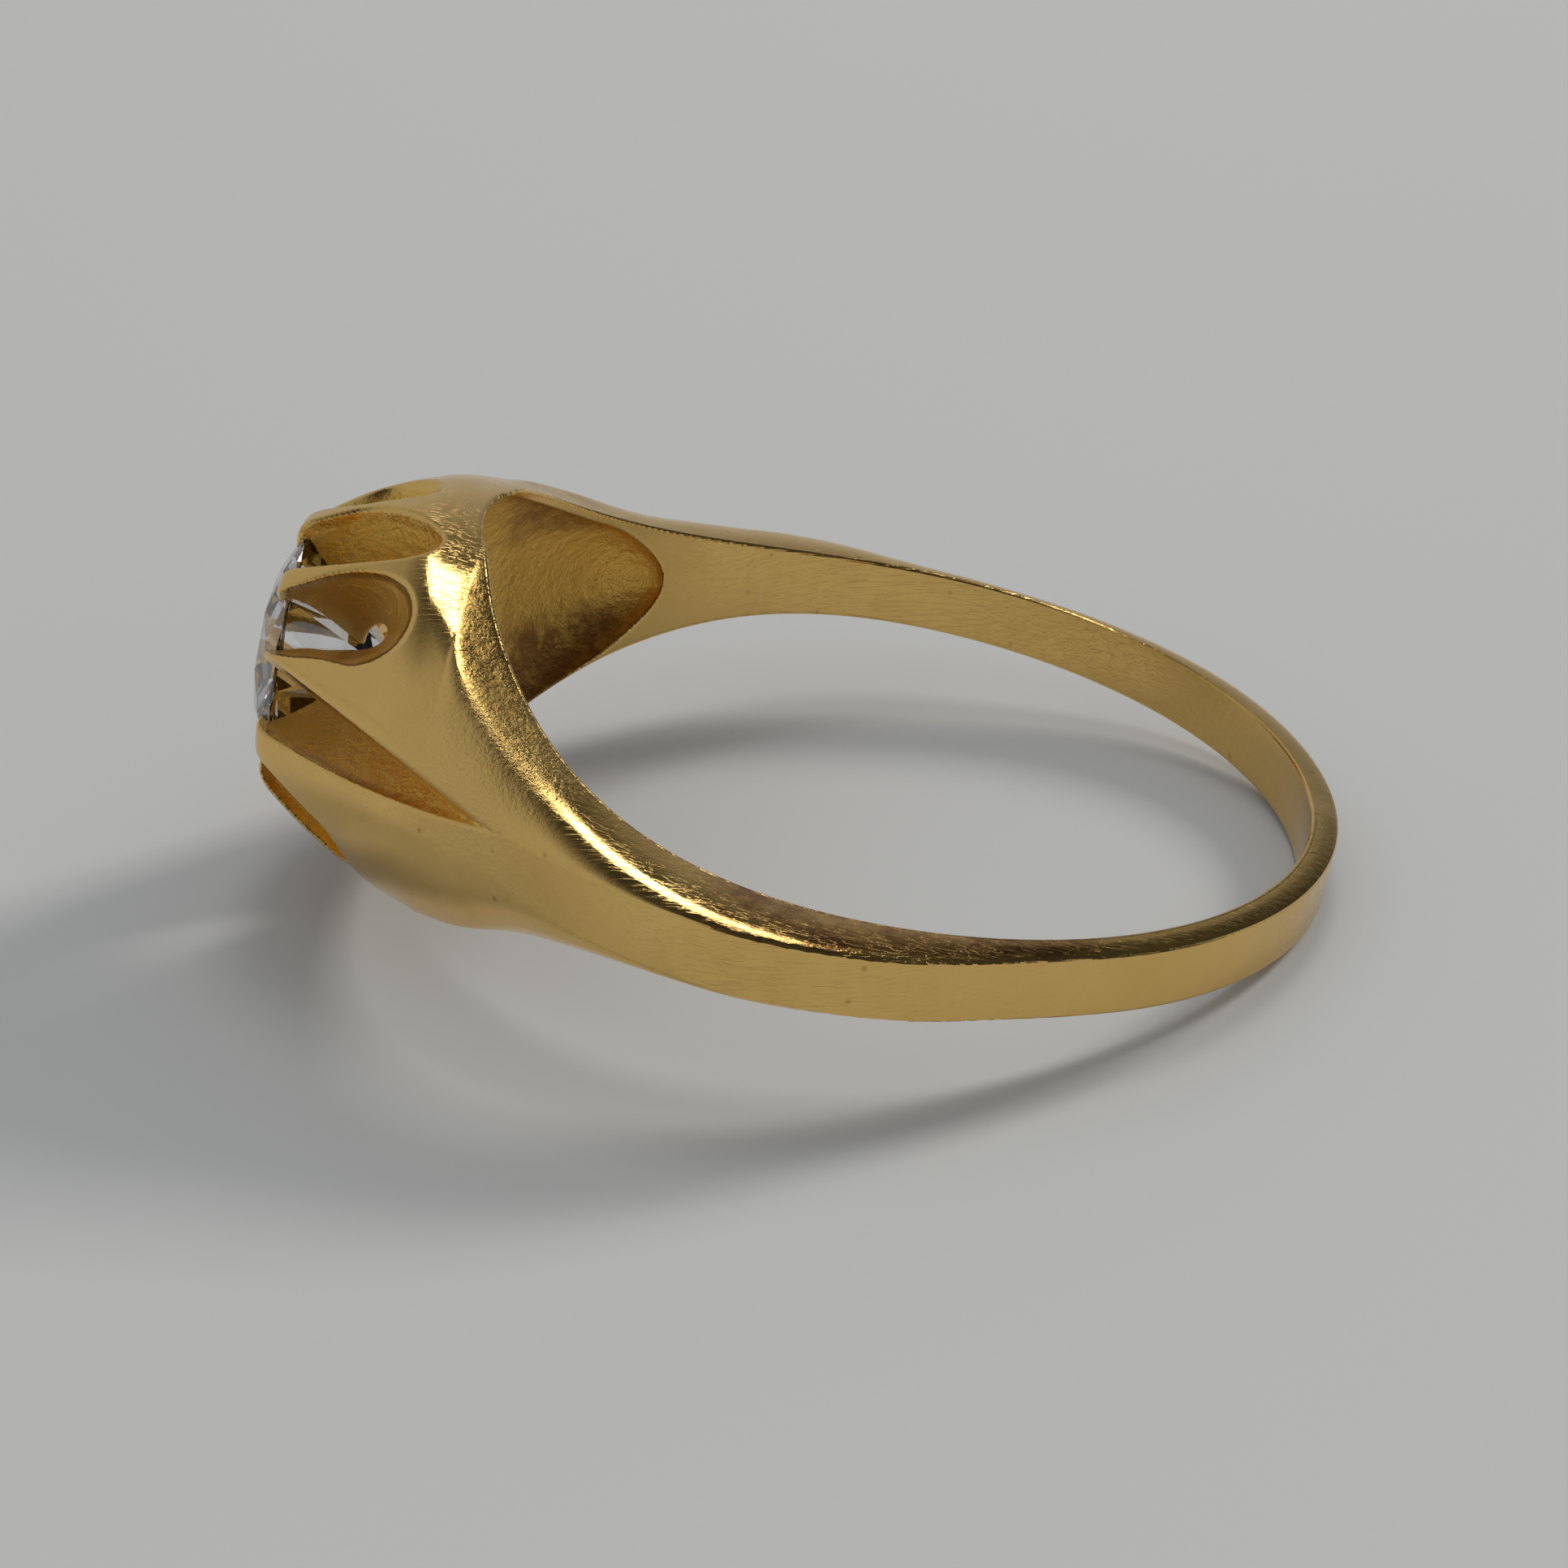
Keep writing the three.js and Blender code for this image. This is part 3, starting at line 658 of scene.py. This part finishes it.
class Nodes:
    """Small helper to wire a node tree."""

    def __init__(self, tree):
        self.tree = tree
        tree.nodes.clear()

    def add(self, kind, inputs=None, **values):
        node = self.tree.nodes.new(kind)
        for key, value in values.items():
            setattr(node, key, value)
        for key, value in (inputs or {}).items():
            if isinstance(value, bpy.types.NodeSocket):
                self.tree.links.new(value, node.inputs[key])
            else:
                node.inputs[key].default_value = value
        return node

    def ramp(self, source, stops):
        node = self.add("ShaderNodeValToRGB", {"Fac": source})
        elements = node.color_ramp.elements
        while len(elements) < len(stops):
            elements.new(0.5)
        for element, (place, colour) in zip(elements, stops):
            element.position = place
            element.color = (*colour, 1) if len(colour) == 3 else colour
        return node.outputs["Color"]

    def blend(self, factor, a, b):
        node = self.add("ShaderNodeMix", data_type="RGBA")
        for socket, value in zip((node.inputs[0], node.inputs[6], node.inputs[7]), (factor, a, b)):
            if isinstance(value, bpy.types.NodeSocket):
                self.tree.links.new(value, socket)
            else:
                socket.default_value = value
        return node.outputs[2]

    def math(self, operation, a, b=0.0, c=0.0):
        node = self.add("ShaderNodeMath", operation=operation)
        for socket, value in zip(node.inputs, (a, b, c)):
            if isinstance(value, bpy.types.NodeSocket):
                self.tree.links.new(value, socket)
            else:
                socket.default_value = value
        return node.outputs[0]


# Gold and solder, clean and dull, then brown spots, painted orange bounce light in the hand-cut walls and
# painted brown reflection and shade
GOLD = ((0.86, 0.57, 0.19, 1), (0.74, 0.47, 0.14, 1))
SOLDER = ((0.86, 0.58, 0.21, 1), (0.74, 0.48, 0.16, 1))
BROWN_SPOT = (0.42, 0.22, 0.07, 1)
# Painted bounce light: a saturated orange in the cut walls that stands in for light bounced between gold
# walls
WALL_BOUNCE_ORANGE = (1.0, 0.64, 0.14, 1)
# Painted shade: a brown that stands in for dark reflection and shade in the scoops and on the near band's
# upper edge
PAINTED_SHADE_BROWN = (0.30, 0.13, 0.045, 1)
DULL_SHARE = 0.4
SPOT_SHARE = 0.55
WALL_BOUNCE_SHARE = 0.85

# Where brown dark reflection and shade are painted: low and high in the scooped shoulders, and on the upper
# edge of the near band
SCOOP_LOW = (-0.35, -1.15)
SCOOP_HIGH = (1.2, 1.75)
SCOOP_END = (-8.9, -8.3)
BAND_TOP = (0.55, 0.72)
BAND_FROM = (-3.6, -2.2)
BAND_UNTIL = (4.6, 3.4)
HIGH_SHARE = 0.6
STRIP_SHARE = 0.8
SHADE_CONTRAST = 3.2
SHADE_START = -0.8
SHADE_MOST = 0.85

# Depth at which a wall counts as cut, and the grainy wear on the near shoulder with its middle and reach
CUT_FROM = 0.06
CUT_FULL = 0.3
WORN_SPOT = (-7.6, -6.6, 1.3)
WORN_FULL = 0.5
WORN_END = 2.7

# Textures: scale, detail and roughness
CLOUDS = (620.0, 5.0, 0.62)
GRAIN = (11000.0, 4.0, 0.65)
LUMPS = (3600.0, 5.0, 0.7)
SHADE_CLOUDS = (1500.0, 3.0, 0.6)
POLISH_LINES = (9000.0, 3.0, 0.6)
POLISH_STRETCH = 0.08
SCRATCH_SCALE = 420.0
SCRATCH_STRETCH = (1.0, 14.0, 14.0)
SCRATCH_WIDTH = 0.012
SCRATCHES = [((0.3, 0.9, 0.4), 0.5), ((1.3, 0.2, 1.9), 0.47), ((0.2, 1.5, 0.9), 0.53)]
SPOTS_SCALE = 1300.0
SPOT_EDGE = (0.045, 0.1)
PATCH_RANGE = (0.36, 0.66)

# Gloss: roughness of clean gold, and what patches, wear, scratches and cut walls add
ROUGH_CLEAN = 0.09
ROUGH_PATCHES = 0.07
ROUGH_WORN = 0.10
ROUGH_LINES = 0.10
ROUGH_CUT = 0.16

# Relief in micrometres
MICRON = 0.000001
GRAIN_CLEAN = 1.2
GRAIN_WORN = 26.0
LUMPS_CLEAN = 1.5
LUMPS_WORN = 20.0
LUMPS_CUT = 90.0
POLISH_RELIEF = 1.5
LINE_RELIEF = -1.0
SPOT_RELIEF = -3.0

BLACK = (0.0, 0.0, 0.0)
WHITE = (1.0, 1.0, 1.0)


def soft_range(n, value, ends):
    """0 at the first of two values in millimetres and 1 at the second, with a soft turn."""
    return n.add("ShaderNodeMapRange", {"Value": value, "From Min": ends[0] * MM, "From Max": ends[1] * MM},
                 interpolation_type="SMOOTHSTEP").outputs["Result"]


def near(n, place, spot, inner, outer):
    """1 within the inner distance of a spot in the ring's frame, and 0 beyond the outer one."""
    middle = tuple(to_part(spot))
    away = n.add("ShaderNodeVectorMath", {0: place, 1: middle}, operation="DISTANCE").outputs["Value"]
    ends = {"Value": away, "From Min": inner * MM, "From Max": outer * MM, "To Min": 1.0, "To Max": 0.0}
    return n.add("ShaderNodeMapRange", ends, interpolation_type="SMOOTHSTEP").outputs["Result"]


def noise(n, place, look):
    scale, detail, roughness = look
    settings = {"Vector": place, "Scale": scale, "Detail": detail, "Roughness": roughness}
    return n.add("ShaderNodeTexNoise", settings).outputs["Fac"]


def painted_reflection_and_shade(n, ring, cut, clouds):
    """Painted dark reflection and shade in brown, low and high in the scooped shoulders and on the upper
    edge of the near band, as a value from 0 to the set most of the painted shade.
    """
    part = n.add("ShaderNodeSeparateXYZ", {"Vector": ring}).outputs
    scoop = n.math("MULTIPLY", soft_range(n, part["X"], SCOOP_END), cut)
    low = n.math("MULTIPLY", soft_range(n, part["Z"], SCOOP_LOW), scoop)
    high = n.math("MULTIPLY", soft_range(n, part["Z"], SCOOP_HIGH), scoop)
    strip = n.math("MULTIPLY", soft_range(n, part["X"], BAND_FROM), soft_range(n, part["X"], BAND_UNTIL))
    strip = n.math("MULTIPLY", strip, soft_range(n, part["Z"], BAND_TOP))
    strip = n.math("MULTIPLY", strip, n.math("LESS_THAN", part["Y"], 0.0))
    painted_darkening = n.math("MAXIMUM", low, n.math("MULTIPLY", high, HIGH_SHARE))
    painted_darkening = n.math("MAXIMUM", painted_darkening, n.math("MULTIPLY", strip, STRIP_SHARE))
    uneven = n.math("MAXIMUM", n.math("MULTIPLY_ADD", clouds, SHADE_CONTRAST, SHADE_START), 0.0)
    return n.math("MINIMUM", n.math("MULTIPLY", painted_darkening, uneven), SHADE_MOST)


def polish_marks(n, ring):
    """Fine lines that run across the band, as a value about 0.5."""
    part = n.add("ShaderNodeSeparateXYZ", {"Vector": ring}).outputs
    flat = n.add("ShaderNodeCombineXYZ", {"X": part["X"], "Y": part["Y"]}).outputs[0]
    toward = n.add("ShaderNodeVectorMath", {0: flat}, operation="NORMALIZE").outputs[0]
    wide = {0: toward, "Scale": BACK_RADIUS * MM}
    wide = n.add("ShaderNodeVectorMath", wide, operation="SCALE").outputs[0]
    high = n.add("ShaderNodeCombineXYZ", {"Z": n.math("MULTIPLY", part["Z"], POLISH_STRETCH)}).outputs[0]
    place = n.add("ShaderNodeVectorMath", {0: wide, 1: high}, operation="ADD").outputs[0]
    return noise(n, place, POLISH_LINES)


def scratches(n, place, turn, level):
    """Thin straight scratches in one direction, where a stretched noise passes a level."""
    laid = {"Vector": place, "Rotation": turn, "Scale": SCRATCH_STRETCH}
    laid = n.add("ShaderNodeMapping", laid).outputs[0]
    field = n.add("ShaderNodeTexNoise", {"Vector": laid, "Scale": SCRATCH_SCALE, "Detail": 2.0})
    ridge = n.math("ABSOLUTE", n.math("SUBTRACT", field.outputs["Fac"], level))
    return n.ramp(ridge, [(0.0, WHITE), (SCRATCH_WIDTH, BLACK)])


def pits(n, place):
    spots = n.add("ShaderNodeTexVoronoi", {"Vector": place, "Scale": SPOTS_SCALE, "Randomness": 1.0})
    return n.ramp(spots.outputs["Distance"], [(SPOT_EDGE[0], WHITE), (SPOT_EDGE[1], BLACK)])


def gold_colour(n, colours, patches, spot, cut, painted_darkening):
    """Clean gold with duller patches and brown spots, painted orange bounce light in the cut walls, and
    painted brown reflection and shade.
    """
    skin = n.blend(n.math("MULTIPLY", patches, DULL_SHARE), *colours)
    skin = n.blend(n.math("MULTIPLY", spot, SPOT_SHARE), skin, BROWN_SPOT)
    # Painted bounce light: deeper orange where the walls are cut
    skin = n.blend(n.math("MULTIPLY", cut, WALL_BOUNCE_SHARE), skin, WALL_BOUNCE_ORANGE)
    # Painted shade: brown dark reflection and shade laid over the gold
    return n.blend(painted_darkening, skin, PAINTED_SHADE_BROWN)


def gold_gloss(n, patches, worn, lines, cut):
    rough = n.math("MULTIPLY_ADD", patches, ROUGH_PATCHES, ROUGH_CLEAN)
    rough = n.math("MULTIPLY_ADD", worn, ROUGH_WORN, rough)
    rough = n.math("MULTIPLY_ADD", lines, ROUGH_LINES, rough)
    return n.math("MULTIPLY_ADD", cut, ROUGH_CUT, rough)


def gold_relief(n, place, ring, worn, lines, spot, cut):
    grain_high = n.math("MULTIPLY_ADD", worn, GRAIN_WORN, GRAIN_CLEAN)
    lumps_high = n.math("MULTIPLY_ADD", worn, LUMPS_WORN, LUMPS_CLEAN)
    lumps_high = n.math("MULTIPLY_ADD", cut, LUMPS_CUT, lumps_high)
    relief = n.math("MULTIPLY", noise(n, place, GRAIN), grain_high)
    relief = n.math("MULTIPLY_ADD", noise(n, place, LUMPS), lumps_high, relief)
    relief = n.math("MULTIPLY_ADD", polish_marks(n, ring), POLISH_RELIEF, relief)
    relief = n.math("MULTIPLY_ADD", lines, LINE_RELIEF, relief)
    relief = n.math("MULTIPLY_ADD", spot, SPOT_RELIEF, relief)
    bump = n.add("ShaderNodeBump", {"Height": relief, "Strength": 1.0, "Distance": MICRON})
    return bump.outputs["Normal"]


def gold_material(name, colours):
    mat = bpy.data.materials.new(name)
    mat.use_nodes = True
    n = Nodes(mat.node_tree)
    place = n.add("ShaderNodeTexCoord").outputs["Object"]
    origin = tuple(c * MM for c in RING_ORIGIN)
    frame_of_ring = {"Vector": place, "Location": origin, "Rotation": (0.0, REST_TILT, 0.0)}
    ring = n.add("ShaderNodeMapping", frame_of_ring, vector_type="TEXTURE").outputs[0]
    depth = n.add("ShaderNodeAttribute", attribute_name="cut_depth").outputs["Fac"]
    ends = {"Value": depth, "From Min": CUT_FROM, "From Max": CUT_FULL}
    cut = n.add("ShaderNodeMapRange", ends).outputs["Result"]
    patches = n.ramp(noise(n, place, CLOUDS), [(PATCH_RANGE[0], BLACK), (PATCH_RANGE[1], WHITE)])
    spot = pits(n, place)
    worn = near(n, place, WORN_SPOT, WORN_FULL, WORN_END)
    lines = 0.0
    for turn, level in SCRATCHES:
        lines = n.math("MAXIMUM", lines, scratches(n, place, turn, level))
    # Painted shade: brown dark reflection and shade in the scoops and on the near band's upper edge, made
    # uneven by clouds
    painted_darkening = painted_reflection_and_shade(n, ring, cut, noise(n, place, SHADE_CLOUDS))
    shader = n.add("ShaderNodeBsdfPrincipled", {
        "Base Color": gold_colour(n, colours, patches, spot, cut, painted_darkening),
        "Metallic": 1.0,
        "Roughness": gold_gloss(n, patches, worn, lines, cut),
        "Normal": gold_relief(n, place, ring, worn, lines, spot, cut)})
    out = n.add("ShaderNodeOutputMaterial")
    n.tree.links.new(shader.outputs[0], out.inputs["Surface"])
    return mat


DIAMOND_COLOUR = (0.97, 0.98, 1.0, 1)
DIAMOND_IOR = 2.42


def stone_material():
    mat = bpy.data.materials.new("diamond")
    mat.use_nodes = True
    n = Nodes(mat.node_tree)
    shader = n.add("ShaderNodeBsdfPrincipled", {
        "Base Color": DIAMOND_COLOUR, "Roughness": 0.0, "IOR": DIAMOND_IOR, "Transmission Weight": 1.0})
    out = n.add("ShaderNodeOutputMaterial")
    n.tree.links.new(shader.outputs[0], out.inputs["Surface"])
    return mat


def make_stone():
    bm = brilliant()
    mesh = bpy.data.meshes.new("brilliant")
    bm.to_mesh(mesh)
    bm.free()
    turn = Matrix.Rotation(-PI / 2, 4, "Y")
    mesh.transform(TO_PART @ Matrix.Translation((-GIRDLE, 0, 0)) @ turn)
    mesh.materials.append(stone_material())
    stone = new_object("brilliant", mesh)
    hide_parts("stone")
    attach(stone, "root")
    return stone


def make_gold():
    points, quads = grow_gold(CELL)
    co, polygons = cut_at_seams(points, quads)
    belongs = piece_of(np.array([co[p].mean(axis=0) for p in polygons]))
    gold = gold_material("yellow_gold", GOLD)
    solder = gold_material("solder_gold", SOLDER)
    rows = [
        ("head_and_claws", "head", "gold", gold),
        ("shank_and_shoulders", "shank", "gold", gold),
        ("solder_far", "solder_seam_far", "solder", solder),
        ("solder_near", "solder_seam_near", "solder", solder),
    ]
    for i, (name, node, slot, material) in enumerate(rows):
        mine = [p for p, b in zip(polygons, belongs) if b == i]
        piece = dress(name, co, mine, material)
        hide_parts(node)
        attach(piece, "root")


# The camera, in the ring's frame: how far it is turned, and where the finger hole's middle lies in its view
VIEW_UP = math.radians(25.637)
VIEW_TURN = math.radians(-0.273)
VIEW_ROLL = math.radians(-10.796)
HOLE_SEEN = (2.0946, 0.5653, 69.2506)
LENS = 78.26
SENSOR = 36.0


def make_camera():
    back = Vector((math.sin(VIEW_TURN) * math.cos(VIEW_UP), -math.cos(VIEW_TURN) * math.cos(VIEW_UP),
                   math.sin(VIEW_UP)))
    right = Vector((math.cos(VIEW_TURN), math.sin(VIEW_TURN), 0))
    up = back.cross(right)
    level = Matrix((right, up, back))
    roll = Matrix.Rotation(VIEW_ROLL, 3, "Z")
    axes = roll @ level
    place = -(axes.transposed() @ Vector((HOLE_SEEN[0], HOLE_SEEN[1], -HOLE_SEEN[2])))
    data = bpy.data.cameras.new("camera")
    data.lens = LENS
    data.sensor_width = SENSOR
    data.clip_start = 0.002
    data.clip_end = 5
    camera = new_object("camera", data)
    turn = Matrix.Rotation(REST_TILT, 3, "Y") @ axes.transposed()
    camera.matrix_world = Matrix.Translation(to_part(place)) @ turn.to_4x4()
    bpy.context.scene.camera = camera


# The table under the ring
FLOOR_HALF = 1.5
FLOOR_COLOUR = (0.46, 0.46, 0.455, 1)


def shown_to_lens(n):
    """1 for rays from the lens and from metal and glass, and 0 for light that falls on diffuse surfaces."""
    rays = n.add("ShaderNodeLightPath").outputs
    seen = n.math("MAXIMUM", rays["Is Camera Ray"], rays["Is Glossy Ray"])
    return n.math("MAXIMUM", seen, rays["Is Transmission Ray"])


def make_floor():
    mesh = bpy.data.meshes.new("floor")
    corners = [(x * FLOOR_HALF, y * FLOOR_HALF, 0) for x, y in ((-1, -1), (1, -1), (1, 1), (-1, 1))]
    mesh.from_pydata(corners, [], [(0, 1, 2, 3)])
    mat = bpy.data.materials.new("pale_table")
    mat.use_nodes = True
    n = Nodes(mat.node_tree)
    shader = n.add("ShaderNodeBsdfPrincipled", {"Base Color": FLOOR_COLOUR, "Roughness": 0.6})
    out = n.add("ShaderNodeOutputMaterial")
    n.tree.links.new(shader.outputs[0], out.inputs["Surface"])
    mesh.materials.append(mat)
    floor = new_object("floor", mesh)


def area_light(name, place, size, power, colour):
    """A square lamp that points at the middle of the part."""
    data = bpy.data.lights.new(name, "AREA")
    data.shape = "RECTANGLE"
    data.size, data.size_y = size
    data.energy = power
    data.color = colour
    light = new_object(name, data)
    light.location = place
    light.rotation_mode = "QUATERNION"
    light.rotation_quaternion = (-Vector(place)).to_track_quat("-Z", "Y")
    return light


# The light that falls on diffuse surfaces, and the room as metal and glass see it, with one darker side
SKY_COLOUR = (0.95, 0.98, 1.0, 1)
SKY_STRENGTH = 0.56
ROOM_COLOUR = (0.98, 0.99, 1.0, 1)
DARK_SIDE = (0.78, -0.40, 0.48)
DARK_FROM = -0.35
DARK_FULL = 0.3
PALE = 0.42
DARK = 0.04

# The lamps, one metre away
KEY_WAY = (0.64, 0.59, 0.49)
KEY_SIZE = (0.24, 0.24)
KEY_POWER = 6.8
KEY_COLOUR = (1.0, 0.97, 0.92)
LAMP_WAY = (0.08, 0.45, 0.889)
LAMP_SIZE = (0.26, 0.30)
LAMP_POWER = 1.5
LAMP_COLOUR = (1.0, 1.0, 1.0)


def make_lamps():
    key = area_light("key", KEY_WAY, KEY_SIZE, KEY_POWER, KEY_COLOUR)
    key.visible_glossy = False
    area_light("lamp", LAMP_WAY, LAMP_SIZE, LAMP_POWER, LAMP_COLOUR)


def make_room():
    world = bpy.data.worlds.new("studio")
    bpy.context.scene.world = world
    world.use_nodes = True
    n = Nodes(world.node_tree)
    lit = n.add("ShaderNodeBackground", {"Color": SKY_COLOUR, "Strength": SKY_STRENGTH})
    way = n.add("ShaderNodeTexCoord").outputs["Generated"]
    toward = {0: way, 1: DARK_SIDE}
    toward = n.add("ShaderNodeVectorMath", toward, operation="DOT_PRODUCT").outputs["Value"]
    ends = {"Value": toward, "From Min": DARK_FROM, "From Max": DARK_FULL, "To Min": PALE, "To Max": DARK}
    level = n.add("ShaderNodeMapRange", ends, interpolation_type="SMOOTHSTEP").outputs["Result"]
    rays = n.add("ShaderNodeLightPath").outputs
    backdrop = n.math("MULTIPLY", rays["Is Camera Ray"], PALE)
    level = n.math("MAXIMUM", level, backdrop)
    seen = n.add("ShaderNodeBackground", {"Color": ROOM_COLOUR, "Strength": level})
    mix = n.add("ShaderNodeMixShader", {"Fac": shown_to_lens(n)})
    n.tree.links.new(lit.outputs[0], mix.inputs[1])
    n.tree.links.new(seen.outputs[0], mix.inputs[2])
    out = n.add("ShaderNodeOutputWorld")
    n.tree.links.new(mix.outputs[0], out.inputs["Surface"])


make_camera()
make_floor()
make_lamps()
make_room()
make_gold()
make_stone()
bpy.context.scene.view_settings.view_transform = "Standard"
